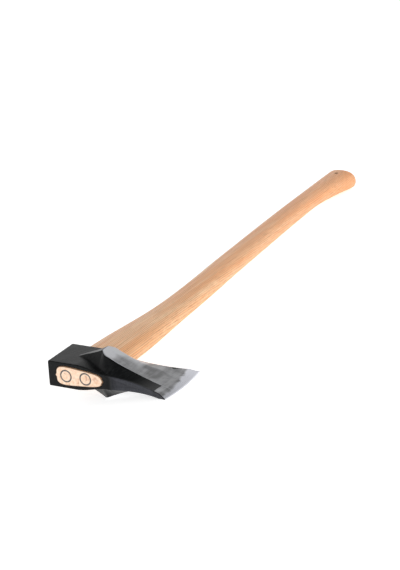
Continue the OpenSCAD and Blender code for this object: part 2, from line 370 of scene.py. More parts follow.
@dataclass
class Head:
    """The forged head: poll, eye block, two wings and the hollow ground blade."""

    height: float = 64 * MM
    poll_reach: float = 48 * MM
    poll_thickness: float = 36 * MM
    edge_reach: float = 145 * MM
    toe_drop: float = 20 * MM
    heel_drop: float = 13 * MM
    edge_bow: float = 4.5 * MM
    edge_thickness: float = 0.5 * MM
    bevel_thickness: float = 8 * MM
    bevel_width: float = 14 * MM
    wing_span: float = 69 * MM
    wing_x: float = 24.5 * MM
    ridge_length: float = 15 * MM
    wing_root: float = 16 * MM
    root_half: float = 2.5 * MM
    fan_waist: float = 28 * MM
    waist_lead: float = 9 * MM
    flare_half: float = 11 * MM
    flare_power: float = 1.7
    hollow_power: float = 1.9
    throat_thickness: float = 20.6 * MM
    # how far each kind of corner is rounded
    corner_round: float = 1.5 * MM
    poll_round: float = 1.8 * MM
    ridge_round: float = 0.8 * MM
    foot_round: float = 2.5 * MM
    foot_margin: float = 2.2 * MM
    # the fold and the panel that are set into the narrow sides
    fold_x: float = 45.5 * MM
    fold_half: float = 5 * MM
    fold_depth: float = 0.7 * MM
    panel_start: float = 51 * MM
    panel_end: float = 97 * MM
    panel_depth: float = 0.45 * MM
    # the painted notch in the ground slope
    notch_x: float = 111 * MM
    notch_half: float = 8 * MM
    notch_depth: float = 7 * MM
    notch_share: float = 0.2
    # where the curves of the block and the blade start, and how they run
    cheek_start: float = -6 * MM
    throat_lead: float = 9 * MM
    sweep_share: float = 0.18
    flare_share: float = 0.42
    bevel_side: float = 0.48
    edge_side: float = 0.45
    thin_power: float = 1.35
    panel_reach: float = 0.72
    panel_step: float = 0.8 * MM
    relief_fade: float = 2.5 * MM
    relief_rim: float = 0.4 * MM
    # where the ground face opens to the handle side, and what stays painted there
    open_start: float = 4 * MM
    open_end: float = 16 * MM
    open_margin: float = 0.4 * MM
    cheek_mask: float = 0.7
    mask_start: float = 8 * MM
    mask_end: float = 6 * MM
    mask_margin: float = 1.6 * MM
    eye: Eye = field(default_factory=Eye)

    def __post_init__(self) -> None:
        """Works out the stations along X that several curves share."""
        self.mid = self.height / 2
        self.throat_x = self.eye.length / 2 + self.throat_lead
        self.bevel_x = self.edge_reach - self.bevel_width
        self.sweep_x = lerp(self.throat_x, self.edge_reach, self.sweep_share)
        self.flare_x = lerp(self.wing_x, self.bevel_x, self.flare_share)

    @property
    def poll_middle(self) -> np.ndarray:
        """The middle of the poll face in the design frame."""
        return np.array([-self.poll_reach, self.mid, 0.0])

    def side_half(self, x: np.ndarray) -> np.ndarray:
        """Half thickness of the narrow eye and handle sides: full at the poll, thinning in a
        cosine to the throat, then by a power curve to the bevel and evenly to the edge.

        Args:
            x: Stations.

        Returns:
            Half thicknesses.
        """
        poll, throat = self.poll_thickness / 2, self.throat_thickness / 2
        bevel, edge = self.bevel_thickness * self.bevel_side, self.edge_thickness * self.edge_side
        block = lerp(poll, throat, ease(share(x, self.cheek_start, self.throat_x)))
        blade = lerp(bevel, throat, (1 - share(x, self.throat_x, self.bevel_x)) ** self.thin_power)
        tip = lerp(bevel, edge, share(x, self.bevel_x, self.edge_reach))
        return np.where(x <= self.throat_x, block, np.where(x <= self.bevel_x, blade, tip))

    def wing_half(self, x: np.ndarray) -> np.ndarray:
        """Half thickness along the middle: a straight rise from the wing root, met at the
        rounded ridge by the hollow ground face, then the bevel down to the edge.

        Args:
            x: Stations.

        Returns:
            Half thicknesses.
        """
        wing, bevel = self.wing_span / 2, self.bevel_thickness / 2
        past = np.maximum(0.0, x - self.wing_x) / (self.wing_x + self.wing_root)
        rear = lerp(self.side_half(x), wing, share(x, -self.wing_root, self.wing_x) + past)
        fall = 1 - (x - self.wing_x) / (self.bevel_x - self.wing_x)
        hollow = lerp(bevel, wing, np.maximum(fall, 0.0) ** self.hollow_power)
        tip = lerp(bevel, self.edge_thickness / 2, share(x, self.bevel_x, self.edge_reach))
        return np.where(x <= self.bevel_x, soft_min(rear, hollow, self.ridge_round), tip)

    def fan_half(self, x: np.ndarray) -> np.ndarray:
        """Half length along the handle of the wing's top: it grows from the root to the ridge,
        opens in a quarter sine to the waist, and flares by a power towards the edge.

        Args:
            x: Stations.

        Returns:
            Half lengths.
        """
        ridge, waist = self.ridge_length / 2, self.fan_waist / 2
        rear = lerp(self.root_half, ridge, share(x, -self.wing_root, self.wing_x))
        lead = np.sin(math.pi / 2 * share(x, self.wing_x, self.wing_x + self.waist_lead))
        flare = self.flare_half * share(x, self.flare_x, self.bevel_x) ** self.flare_power
        return np.where(x <= self.wing_x, rear, lerp(ridge, waist, lead) + flare)

    def sides(self, x: np.ndarray) -> tuple[np.ndarray, np.ndarray]:
        """Where the eye side and the handle side lie along Y: straight past the eye, then swept
        out by a square to the toe and the heel."""
        sweep = share(x, self.sweep_x, self.edge_reach) ** 2
        return -self.toe_drop * sweep, self.height + self.heel_drop * sweep

    def bow(self, x: np.ndarray, y: np.ndarray) -> np.ndarray:
        """How far back a point lies because the edge bows: the square of its distance from the
        edge's middle, in full at the edge and not at all where the blade starts to sweep.

        Args:
            x: Stations.
            y: Places along the handle.

        Returns:
            Distances along X.
        """
        middle = self.mid + (self.heel_drop - self.toe_drop) / 2
        reach = (self.height + self.heel_drop + self.toe_drop) / 2
        return self.edge_bow * ((y - middle) / reach) ** 2 * share(x, self.sweep_x, self.edge_reach)

    def corners(self, x: np.ndarray) -> tuple[np.ndarray, np.ndarray]:
        """The twelve corners of the head's outline at each station, and how far each is rounded.

        Args:
            x: Stations.

        Returns:
            Corners, stations by 12 by 2 (y and z), and reaches, stations by 12.
        """
        low, high = self.sides(x)
        side, fan = self.side_half(x), self.fan_half(x)
        top = np.maximum(self.wing_half(x), side)
        spread = share(x, -self.wing_root, self.throat_x)
        below = lerp(self.root_half + MM, self.mid - low - self.foot_margin, spread)
        above = lerp(self.root_half + MM, high - self.mid - self.foot_margin, spread)
        foot_low = self.mid - np.maximum(below, fan + MM)
        foot_high = self.mid + np.maximum(above, fan + MM)
        half = [(low, side), (foot_low, side), (self.mid - fan, top)]
        half += [(self.mid + fan, top), (foot_high, side), (high, side)]
        upper = [np.stack([y, z], -1) for y, z in half]
        lower = [np.stack([y, -z], -1) for y, z in half[::-1]]
        small = np.minimum(self.corner_round, side * 0.5)
        ridge = np.full_like(x, self.ridge_round)
        foot = lerp(self.foot_round, MM, share(x, self.wing_x, self.sweep_x))
        reach = np.stack([small, foot, ridge, ridge, foot, small] * 2, axis=1)
        return np.stack(upper + lower, axis=1), reach

    def relief(self, x: np.ndarray, z: np.ndarray) -> np.ndarray:
        """How deep the narrow sides are set in: a soft fold in front of the eye, and past it a
        shallow long triangle that runs out towards the edge.

        The fold is a cosine bump across its middle. The triangle is open at the fold and closes
        evenly; its depth comes in over a short step at each of its sides.

        Args:
            x: Stations.
            z: Heights across the side.

        Returns:
            Depths, held to the middle of the side.
        """
        fold = self.fold_depth * ease(1 - np.abs(x - self.fold_x) / self.fold_half)
        open_share = 1 - share(x, self.panel_start, self.panel_end)
        half = self.side_half(x) * self.panel_reach * open_share
        inside = np.minimum(half - np.abs(z), x - self.panel_start)
        panel = self.panel_depth * ease(share(inside, -self.panel_step / 2, self.panel_step / 2))
        level = share(self.side_half(x) - np.abs(z), 0.0, self.relief_fade)
        return (fold + panel) * level

    def ground_half(self, x: np.ndarray, y: np.ndarray) -> np.ndarray:
        """How far from the middle the head is ground bare: to the fan's edge on the eye side,
        and on the handle side over the slope as well, but for a painted notch near its end.

        Args:
            x: Stations.
            y: Places along the handle.

        Returns:
            Distances along Y from the middle.
        """
        fan, side = self.fan_half(x), self.sides(x)[1] - self.mid
        open_up = ease(share(x, self.wing_x + self.open_start, self.wing_x + self.open_end))
        notch = ease(1 - np.abs(x - self.notch_x) / self.notch_half)
        reach = lerp(fan, side - self.open_margin - self.notch_depth * notch, open_up)
        return np.where(y > self.mid, np.maximum(reach, fan * (1 - self.notch_share * notch)), fan)

    def painted_half(self, x: np.ndarray) -> np.ndarray:
        """Height from the middle up to which paint stays: a share of the eye's width by the wings,
        and a margin under the narrow sides' own height from the throat on."""
        past = ease(share(x, self.wing_x + self.mask_start, self.throat_x + self.mask_end))
        return lerp(self.eye.width * self.cheek_mask, self.side_half(x) - self.mask_margin, past)

    def rings(self) -> np.ndarray:
        """All outlines from the poll face to the cutting edge, as rows by columns by 3."""
        stops = [self.poll_round - self.poll_reach, -self.wing_root - 2 * MM, self.wing_x - 3 * MM]
        stops += [self.wing_x + 3 * MM, self.wing_x + self.waist_lead, self.panel_start + MM]
        stops += [self.bevel_x - 3 * MM, self.bevel_x + 2 * MM, self.edge_reach]
        x = spaced(stops, [16, 28, 24, 12, 30, 64, 10, 14])
        corners, reach = self.corners(x)
        shelf, slope, top, narrow = 8, 12, 24, 22
        runs = [shelf, slope, top, slope, shelf, narrow] * 2
        flat = np.roll(round_corners(corners, reach, 5, runs), narrow // 2, axis=1)
        y, z = flat[..., 0], flat[..., 1]
        low, high = self.sides(x)
        depth = self.relief(x[:, None], z)
        on_side = share(-np.minimum(y - low[:, None], high[:, None] - y), -self.relief_rim, 0.0)
        y = y + np.where(y < self.mid, 1.0, -1.0) * depth * on_side
        body = np.stack([x[:, None] - self.bow(x[:, None], y), y, z], axis=-1)
        return np.concatenate([self.poll_rings(body[0]), body])

    def poll_rings(self, first: np.ndarray) -> np.ndarray:
        """The striking face: the first outline drawn in, flat, and then round its rim.

        Rings grow evenly from the middle to the rim, and a quarter circle carries the rim from
        the face to the cheeks.

        Args:
            first: The outline where the rounding ends, points by 3.

        Returns:
            Rings by points by 3, from the middle of the face outwards.
        """
        half_y, half_z = self.mid, self.poll_thickness / 2
        angle = np.linspace(0.0, math.pi / 2, 7)[:-1]
        inset = self.poll_round * (1 - np.sin(angle))
        depth = self.poll_round * (1 - np.cos(angle))
        face = np.linspace(0.1, 0.96, 9)
        scale_y = np.concatenate([face * (half_y - self.poll_round) / half_y, 1 - inset / half_y])
        scale_z = np.concatenate([face * (half_z - self.poll_round) / half_z, 1 - inset / half_z])
        x = np.concatenate([np.zeros(len(face)), depth]) - self.poll_reach
        rings = np.repeat(first[None], len(x), axis=0)
        rings[..., 0] = x[:, None]
        rings[..., 1] = self.mid + (first[None, :, 1] - self.mid) * scale_y[:, None]
        rings[..., 2] = first[None, :, 2] * scale_z[:, None]
        return rings

    def eye_cutter(self) -> bpy.types.Object:
        """The eye's tapered hole, opened a little where it meets each face.

        Returns:
            The cutter.
        """
        rim, past = self.eye.rim, CUT_PAST
        depths = [-past, 0.0, rim, self.height - rim, self.height, self.height + past]
        grow = [rim + past, rim, 0.0, 0.0, rim, rim + past]
        rings = [self.eye.ring(y, self.height, g) for y, g in zip(depths, grow)]
        return closed_skin("eye_cutter", np.stack(rings))

    def build(self, pose: RestPose, look: bpy.types.Material) -> None:
        """Makes the head, with the distances that its finish reads.

        Args:
            pose: Where the design frame lies.
            look: The head's finish.
        """
        piece = closed_skin("maul_head", self.rings())
        cut(piece, [self.eye_cutter()])
        points = coordinates(piece.data)
        y, z = points[:, 1], points[:, 2]
        x = points[:, 0] + self.bow(points[:, 0], y)
        low, high = self.sides(x)
        fan = np.minimum(self.ground_half(x, y) - np.abs(y - self.mid), x - self.wing_x)
        store(piece.data, "ground", np.minimum(fan, np.abs(z) - self.painted_half(x)))
        store(piece.data, "from_edge", self.edge_reach - x)
        store(piece.data, "from_side", np.minimum(y - low, high - y))
        place_piece(piece, pose, "head", look)


@dataclass
class RingWedge:
    """A round steel wedge: a short tube, straight outside and tapered inside."""

    node: str
    x: float
    diameter: float = 18 * MM
    depth: float = 22 * MM
    wall: float = 2 * MM
    tip: float = 0.6 * MM
    rim: float = 0.3 * MM
    gap: float = 0.05 * MM
    proud: float = 0.6 * MM
    sides: int = 96

    def turned(self, profile: list[tuple[float, float]]) -> np.ndarray:
        """A profile of radius and depth turned round the wedge's axis.

        Args:
            profile: Radius and depth of each point.

        Returns:
            Angles by profile points by 3.
        """
        t = np.linspace(0, 2 * math.pi, self.sides, endpoint=False)[:, None]
        r, down = np.array(profile).T[:, None, :]
        y = np.broadcast_to(down - self.proud, (self.sides, len(profile)))
        return np.stack([self.x + r * np.cos(t), y, r * np.sin(t)], -1)

    def groove_cutter(self) -> bpy.types.Object:
        """The groove that the wedge fills in the tongue's end.

        Returns:
            The cutter.
        """
        outer, top, bottom = self.diameter / 2 + self.gap, -CUT_PAST, self.depth + self.gap
        inner_tip = self.diameter / 2 - self.tip - self.gap
        inner_top = self.diameter / 2 - self.wall - self.gap
        profile = [(outer, top), (outer, bottom), (inner_tip, bottom)]
        profile += [(inner_top, 0.0), (inner_top, top)]
        return closed_skin(f"{self.node}_cutter", self.turned(profile), joined=True)

    def build(self, pose: RestPose, look: bpy.types.Material) -> None:
        """Makes the wedge with a small round rim at its flat end.

        Args:
            pose: Where the design frame lies.
            look: The wedge's finish.
        """
        outer, inner, rim = self.diameter / 2, self.diameter / 2 - self.wall, self.rim
        steps = [(math.sin(a), math.cos(a)) for a in np.linspace(0, math.pi / 2, 4)]
        profile = [(outer, self.depth), (outer - self.tip, self.depth)]
        profile += [(inner + rim - rim * c, rim - rim * s) for s, c in steps]
        profile += [(outer - rim + rim * s, rim - rim * c) for s, c in steps]
        piece = closed_skin(f"maul_{self.node}", self.turned(profile), joined=True)
        place_piece(piece, pose, self.node, look)


@dataclass
class Handle:
    """The hardwood handle: tongue, shoulder, swept taper and flared knob with its hole."""

    head: Head
    wedges: list[RingWedge]
    length: float = 890 * MM
    shoulder_width: float = 71 * MM
    shoulder_thickness: float = 30.5 * MM
    taper_length: float = 130 * MM
    taper_power: float = 2.5
    belly_width: float = 52 * MM
    waist_dip: float = 1 * MM
    dip_span: float = 520 * MM
    grip_width: float = 35 * MM
    grip_thickness: float = 27 * MM
    knob_width: float = 53 * MM
    knob_thickness: float = 34.5 * MM
    knob_flare: float = 130 * MM
    flare_power: float = 1.55
    grip_sweep: float = 27.5 * MM
    sweep_lead: float = 96 * MM
    forward_lean: float = 3.2 * MM
    lean_span: float = 370 * MM
    shoulder_set: float = 1 * MM
    shoulder_round: float = 1.5 * MM
    knob_round: float = 5.5 * MM
    tongue_proud: float = 0.6 * MM
    tongue_round: float = 0.5 * MM
    hang_diameter: float = 5 * MM
    hang_inset: float = 21 * MM
    oval: float = 2.3
    skin_inset: float = 0.1 * MM
    rim_depth: float = 2 * MM

    def flare(self, y: np.ndarray) -> np.ndarray:
        """How far the knob has flared, 0 to 1, by a power of the way along it."""
        return share(y, self.length - self.knob_flare, self.length) ** self.flare_power

    def middle(self, y: np.ndarray) -> np.ndarray:
        """Where the handle's middle lies along X: a half sine forward below the shoulder, one S
        curve back towards the poll side, and half of the knob's flare forward again.

        Args:
            y: Places along the handle.

        Returns:
            Places along X.
        """
        start = self.head.height
        lean = self.forward_lean * np.sin(math.pi * share(y, start, start + self.lean_span))
        sweep = ease(share(y, start + self.sweep_lead, self.length))
        flare = (self.knob_width - self.grip_width) / 2 * self.flare(y)
        return lean + flare - lerp(self.shoulder_set, self.grip_sweep, sweep)

    def half_sizes(self, y: np.ndarray) -> tuple[np.ndarray, np.ndarray]:
        """Half width and half thickness: the shoulder's extra dies away as e to a power of the
        distance, into a grip that narrows evenly; the waist dips by half a sine, and the knob
        flares by a power.

        Args:
            y: Places along the handle.

        Returns:
            Half widths and half thicknesses.
        """
        start = self.head.height
        away = np.maximum(y - start, 0) / self.taper_length
        taper = np.exp(-(away**self.taper_power))
        grip = lerp(self.belly_width, self.grip_width, share(y, start, self.length - self.knob_flare))
        width = lerp(grip, self.shoulder_width, taper)
        width = width + (self.knob_width - self.grip_width) * self.flare(y)
        dip = self.waist_dip * np.sin(math.pi * share(y, start, start + self.dip_span))
        thick = lerp(self.grip_thickness, self.shoulder_thickness, taper) - dip
        thick = thick + (self.knob_thickness - self.grip_thickness) * self.flare(y)
        return width / 2, thick / 2

    def body_rings(self, y: np.ndarray, inset: np.ndarray) -> np.ndarray:
        """Rounded oval outlines: x and z are the half sizes times a power of the cosine and the
        sine of the angle, which fills the corners of an ellipse a little.

        Args:
            y: Places along the handle.
            inset: How far each outline is drawn in.

        Returns:
            Rows by columns by 3.
        """
        t = np.linspace(0.0, 2 * math.pi, self.head.eye.sides, endpoint=False)[None]
        half_width, half_thick = self.half_sizes(y)
        inset = inset + self.skin_inset
        power = 2 / self.oval
        x = np.sign(np.cos(t)) * np.abs(np.cos(t)) ** power * (half_width - inset)[:, None]
        z = np.sign(np.sin(t)) * np.abs(np.sin(t)) ** power * (half_thick - inset)[:, None]
        along = np.broadcast_to(y[:, None], x.shape)
        return np.stack([x + self.middle(y)[:, None], along, z], axis=-1)

    def tongue_rings(self) -> np.ndarray:
        """The tongue from the middle of its end, over a quarter-round rim, to the shoulder.

        Returns:
            Rows by columns by 3.
        """
        eye, height, rim = self.head.eye, self.head.height, self.tongue_round
        end = eye.ring(-self.tongue_proud, height, -eye.gap - rim)
        middle = np.array([0.0, -self.tongue_proud, 0.0])
        face = [middle + (end - middle) * s for s in np.linspace(0.08, 0.94, 8)]
        turns = [(math.sin(a), math.cos(a)) for a in np.linspace(0.0, math.pi / 2, 5)]
        top = rim - self.tongue_proud
        over = [eye.ring(top - rim * c, height, rim * s - rim - eye.gap) for s, c in turns]
        down = [eye.ring(y, height, -eye.gap) for y in np.linspace(self.rim_depth, height, 6)]
        return np.stack(face + over + down)

    def rings(self) -> np.ndarray:
        """The whole handle: tongue, shoulder, body, the knob's round end and its flat.

        Returns:
            Rows by columns by 3.
        """
        start, straight = self.head.height, self.length - self.knob_round
        angle = np.linspace(0, math.pi / 2, 5)
        shoulder = start + self.shoulder_round * (1 - np.cos(angle))
        body = spaced([shoulder[-1], self.length - self.knob_flare, straight], [220, 64])[1:]
        turn = np.linspace(0, math.pi / 2, 11)[1:]
        end = straight + self.knob_round * np.sin(turn)
        y = np.concatenate([shoulder, body, end])
        inset = np.zeros_like(y)
        inset[: len(angle)] = self.shoulder_round * (1 - np.sin(angle))
        inset[-len(turn) :] = self.knob_round * (1 - np.cos(turn))
        skin = self.body_rings(y, inset)
        middle = skin[-1].mean(0)
        face = np.stack([middle + (skin[-1] - middle) * s for s in np.linspace(0.95, 0.08, 8)])
        return np.concatenate([self.tongue_rings(), skin, face])

    @property
    def hang_at(self) -> tuple[float, float]:
        """Where the hanging hole's line stands, along X and Y, in millimetres."""
        y = self.length - self.hang_inset
        return float(self.middle(np.array([y]))[0]) / MM, y / MM

    def hang_cutter(self) -> bpy.types.Object:
        """The hanging hole with a small countersink at each side.

        Returns:
            The cutter.
        """
        y = np.array([self.length - self.hang_inset])
        half = self.half_sizes(y)[1][0]
        rim, past = 0.6 * MM, 4 * MM
        heights = np.array([-half - past, -half, rim - half, half - rim, half, half + past])
        radii = self.hang_diameter / 2 + np.array([rim, rim, 0, 0, rim, rim])
        t = np.linspace(0, 2 * math.pi, 48, endpoint=False)[None]
        x, along = radii[:, None] * np.cos(t), radii[:, None] * np.sin(t)
        up = np.broadcast_to(heights[:, None], x.shape)
        return closed_skin("hang_cutter", np.stack([x + self.middle(y)[0], along + y[0], up], -1))

    def build(self, pose: RestPose, look: bpy.types.Material) -> None:
        """Makes the handle as one closed skin with its grooves and its hole.

        Args:
            pose: Where the design frame lies.
            look: The handle's finish.
        """
        piece = closed_skin("maul_handle", self.rings())
        cut(piece, [wedge.groove_cutter() for wedge in self.wedges] + [self.hang_cutter()])
        points = coordinates(piece.data)
        flat = self.head.eye.outline(-self.head.eye.gap)
        gap = np.full(len(points), FAR)
        near = points[:, 1] < self.rim_depth
        gap[near] = np.linalg.norm(points[near][:, None, [0, 2]] - flat[None], axis=2).min(1)
        store(piece.data, "from_rim", gap)
        place_piece(piece, pose, "handle", look)


def tone(red: int, green: int, blue: int) -> Colour:
    """A display colour, 0 to 255 in each channel, as the linear colour that a shader takes."""
    display = np.array([red, green, blue]) / 255
    linear = np.where(display <= 0.04045, display / 12.92, ((display + 0.055) / 1.055) ** 2.4)
    return tuple(float(c) for c in linear)


class Graph:
    """A node tree that is being filled."""

    def __init__(self, tree: bpy.types.NodeTree) -> None:
        """Takes the tree that gets the nodes."""
        self.tree = tree

    def node(self, kind: str, inputs: dict[str | int, object], **settings: object) -> bpy.types.Node:
        """Adds a node.

        Args:
            kind: Its type's name without the ShaderNode in front.
            inputs: Sockets to link, or values to set, by input name or number.
            **settings: The node's own properties.

        Returns:
            The node.
        """
        made = self.tree.nodes.new(f"ShaderNode{kind}")
        for key, value in settings.items():
            setattr(made, key, value)
        for key, value in inputs.items():
            self.feed(made.inputs[key], value)
        return made

    def feed(self, socket: Socket, value: object) -> None:
        """Links a socket to another or sets its value.

        Args:
            socket: The input.
            value: An output, a number, a vector, or a colour of three, which gets its alpha here.
        """
        if isinstance(value, bpy.types.NodeSocket):
            self.tree.links.new(value, socket)
        elif socket.type == "RGBA":
            socket.default_value = (*value, 1.0)
        else:
            socket.default_value = value


class Bench(Graph):
    """A material being mixed: short names for the nodes that the finishes use."""

    def __init__(self, name: str) -> None:
        """Starts a material of that name with one Principled shader."""
        self.material = bpy.data.materials.new(name)
        self.material.use_nodes = True
        super().__init__(self.material.node_tree)

    def attribute(self, name: str, output: str = "Fac") -> Socket:
        """A value stored on the mesh."""
        return self.node("Attribute", {}, attribute_name=name).outputs[output]

    @cached_property
    def design(self) -> Socket:
        """The design point in millimetres."""
        return self.attribute("design", "Vector")

    def coordinate(self, axis: str) -> Socket:
        """The design point's X, Y or Z in millimetres."""
        return self.node("SeparateXYZ", {"Vector": self.design}).outputs[axis]

    def noise(self, vector: Socket, scale: float, detail: float = 2.0, **inputs: float) -> Socket:
        """Cloudy noise, 0 to 1, at so many lumps a millimetre of the vector."""
        values = {"Vector": vector, "Scale": scale, "Detail": detail, **inputs}
        return self.node("TexNoise", values).outputs[0]

    def streaks(self, scale: Triple, detail: float, turn: float = 0.0, **inputs: float) -> Socket:
        """Noise that is drawn out along the design's axes.

        Args:
            scale: Lumps a millimetre along each axis.
            detail: The noise's detail.
            turn: Turn about Z in degrees, applied to the design point before the scale.
            **inputs: Further values of the noise.

        Returns:
            The noise, 0 to 1.
        """
        point = self.design
        if turn:
            angle = (0.0, 0.0, math.radians(turn))
            point = self.node("Mapping", {"Vector": point, "Rotation": angle}).outputs["Vector"]
        point = self.node("Mapping", {"Vector": point, "Scale": scale}).outputs["Vector"]
        return self.noise(point, 1.0, detail, **inputs)

    def math(self, operation: str, a: object, b: object = 0.0, clamp: bool = False) -> Socket:
        """One sum on two numbers."""
        return self.node("Math", {0: a, 1: b}, operation=operation, use_clamp=clamp).outputs[0]

    def add(self, a: object, b: object, clamp: bool = False) -> Socket:
        """a plus b."""
        return self.math("ADD", a, b, clamp)

    def minus(self, a: object, b: object) -> Socket:
        """a less b."""
        return self.math("SUBTRACT", a, b)

    def times(self, a: object, b: object) -> Socket:
        """a times b."""
        return self.math("MULTIPLY", a, b)

    def ramp(
        self, value: Socket, start: float, end: float, low: float = 0.0, high: float = 1.0
    ) -> Socket:
        """Carries a value from the range start to end to the range low to high, and holds it."""
        span = {"Value": value, "From Min": start, "From Max": end, "To Min": low, "To Max": high}
        return self.node("MapRange", span, clamp=True).outputs["Result"]

    def blend(self, share_of_b: object, a: object, b: object) -> Socket:
        """A colour between a and b."""
        return self.node("Mix", {0: share_of_b, 6: a, 7: b}, data_type="RGBA").outputs[2]

    def between(self, share_of_b: object, a: object, b: object) -> Socket:
        """A number between a and b."""
        return self.node("Mix", {0: share_of_b, 2: a, 3: b}, data_type="FLOAT").outputs[0]

    def bump(self, height: Socket, distance: float) -> Socket:
        """A bumped normal, for a height from 0 to 1 that stands for a distance in metres."""
        inputs = {"Height": height, "Distance": distance, "Strength": 1.0}
        return self.node("Bump", inputs).outputs["Normal"]

    def finish(self, **inputs: object) -> bpy.types.Material:
        """Feeds the shader and returns the material.

        Args:
            **inputs: Sockets or values by input name, with underscores for spaces.

        Returns:
            The material.
        """
        shader = self.tree.nodes["Principled BSDF"]
        for key, value in inputs.items():
            self.feed(shader.inputs[key.replace("_", " ")], value)
        return self.material


@dataclass(frozen=True)
class ForgedHead:
    """Satin black paint over forged steel, with the hollow faces and the edge ground bare."""

    paint: Colour = tone(14, 15, 16)
    # painted sheen: lighter grey laid in streaks over the black paint, where the satin would catch light
    paint_sheen: Colour = tone(34, 36, 36)
    # painted reflection: a lighter slate for the narrow sides past the fold
    paint_side_reflection: Colour = tone(58, 59, 65)
    steel_dark: Colour = tone(118, 118, 119)
    steel_light: Colour = tone(196, 197, 200)
    # the honed band's colour, also used for the painted highlight on the ground face's rim
    honed: Colour = tone(198, 199, 206)
    stain: Colour = tone(96, 96, 108)
    lip: Colour = (0.001, 0.001, 0.001)
    # painted highlight: a bright line along the cutting edge
    edge_highlight: Colour = (0.86, 0.87, 0.92)
    bare_end_mm: float = 23.5
    bare_margin_mm: float = 1.3
    relief: float = 0.00018
    shine: float = 0.13

    def build(self) -> bpy.types.Material:
        """Mixes the paint and the bare steel by the distances stored on the head.

        Returns:
            The material.
        """
        b = Bench("forged_head")
        wobble = b.noise(b.design, 0.11, 3.0)
        ground = b.add(b.attribute("ground"), b.ramp(wobble, 0.3, 0.7, -0.25, 0.25))
        from_edge = b.attribute("from_edge")
        on_blade = b.minus(b.ramp(wobble, 0.2, 0.8, 0.0, 1.4), from_edge)
        near_edge = b.add(on_blade, self.bare_end_mm)
        on_cheek = b.minus(b.attribute("from_side"), self.bare_margin_mm)
        bare_blade = b.math("MINIMUM", near_edge, on_cheek)
        inside = b.math("MAXIMUM", ground, bare_blade)
        bare = b.ramp(inside, -0.12, 0.18)
        grey, rough, ground_bump = self.ground_steel(b, from_edge)
        paint, paint_rough, paint_bump = self.satin_paint(b)
        black_lip = b.ramp(inside, -2.2, -0.1)
        paint = b.blend(b.times(black_lip, 0.75), paint, self.lip)
        height = b.between(bare, paint_bump, ground_bump)
        return b.finish(
            Base_Color=b.blend(bare, paint, grey),
            Metallic=bare,
            Roughness=b.between(bare, paint_rough, rough),
            Normal=b.bump(height, self.relief),
            Specular_IOR_Level=self.shine,
        )

    def satin_paint(self, b: Bench) -> tuple[Socket, Socket, Socket]:
        """The paint: faint forge marks in long strokes, with a painted sheen of lighter grey along the
        strokes, and narrow sides past the fold painted a lighter slate as a painted reflection.

        Args:
            b: The head's bench.

        Returns:
            Colour, roughness and height.
        """
        strokes = b.streaks((0.05, 0.5, 0.3), 4.0, turn=-60, Roughness=0.6)
        patches = b.noise(b.design, 0.05, 3.0)
        grain = b.noise(b.design, 2.2, 2.0)
        # painted sheen: the paint is made lighter grey in streaks along the strokes and patches
        sheen_streaks = b.times(b.ramp(strokes, 0.45, 0.72), b.ramp(patches, 0.35, 0.65))
        colour = b.blend(sheen_streaks, self.paint, self.paint_sheen)
        # painted reflection: the narrow sides past the fold turn a lighter slate, as if they showed the
        # pale floor
        on_side = b.ramp(b.attribute("from_side"), 0.2, 1.6, 1.0, 0.0)
        past_fold = b.ramp(b.attribute("from_edge"), 88.0, 100.0, 1.0, 0.0)
        side_reflection = b.times(on_side, b.times(past_fold, b.ramp(strokes, 0.2, 0.6, 0.45, 1.0)))
        colour = b.blend(side_reflection, colour, self.paint_side_reflection)
        rough = b.add(b.ramp(strokes, 0.3, 0.7, 0.3, 0.42), b.ramp(grain, 0.3, 0.7, -0.03, 0.03))
        height = b.add(b.ramp(patches, 0.2, 0.8, 0.0, 0.8), b.ramp(grain, 0.2, 0.8, 0.0, 0.12))
        return colour, rough, b.add(height, b.ramp(strokes, 0.2, 0.8, 0.0, 0.35))

    def ground_steel(self, b: Bench, from_edge: Socket) -> tuple[Socket, Socket, Socket]:
        """The bare steel: grinding lines along the edge and cloudy patches, with a painted highlight by
        the ridge and a painted reflection along the handle side, a painted highlight as a bright rim
        where the ground face breaks into the paint, a finely honed band at the edge and a painted
        highlight on the edge.

        Args:
            b: The head's bench.
            from_edge: Distance back from the cutting edge.

        Returns:
            Colour, roughness and height.
        """
        lines = b.streaks((2.2, 0.05, 2.2), 3.0, Roughness=0.65)
        broad = b.streaks((0.12, 0.035, 0.12), 2.0)
        clouds = b.streaks((0.03, 0.045, 0.03), 3.0, Distortion=0.6)
        mix = b.add(b.ramp(clouds, 0.36, 0.66, 0.0, 0.55), b.ramp(broad, 0.3, 0.7, -0.12, 0.2))
        mix = b.add(mix, b.ramp(lines, 0.3, 0.7, -0.2, 0.2))
        along = b.coordinate("Y")
        # painted highlight by the ridge and painted reflection along the handle side: both make the
        # steel lighter
        ridge_highlight = b.ramp(from_edge, 94.0, 108.0, 0.0, 0.85)
        far_side_reflection = b.times(b.ramp(along, 35.0, 43.0, 0.0, 0.8), b.ramp(from_edge, 66.0, 82.0))
        mix = b.add(mix, b.add(ridge_highlight, far_side_reflection), clamp=True)
        steel = b.blend(mix, self.steel_dark, self.steel_light)
        width = b.add(b.ramp(along, 0.0, 75.0, 7.0, 20.0), b.ramp(clouds, 0.3, 0.7, -3.0, 3.0))
        inner = b.minus(width, from_edge)
        band = b.ramp(inner, -1.5, 2.0)
        steel = b.blend(band, steel, self.honed)
        stained = b.times(b.ramp(clouds, 0.56, 0.7), b.ramp(inner, -3.0, 3.0))
        steel = b.blend(b.times(stained, 0.5), steel, self.stain)
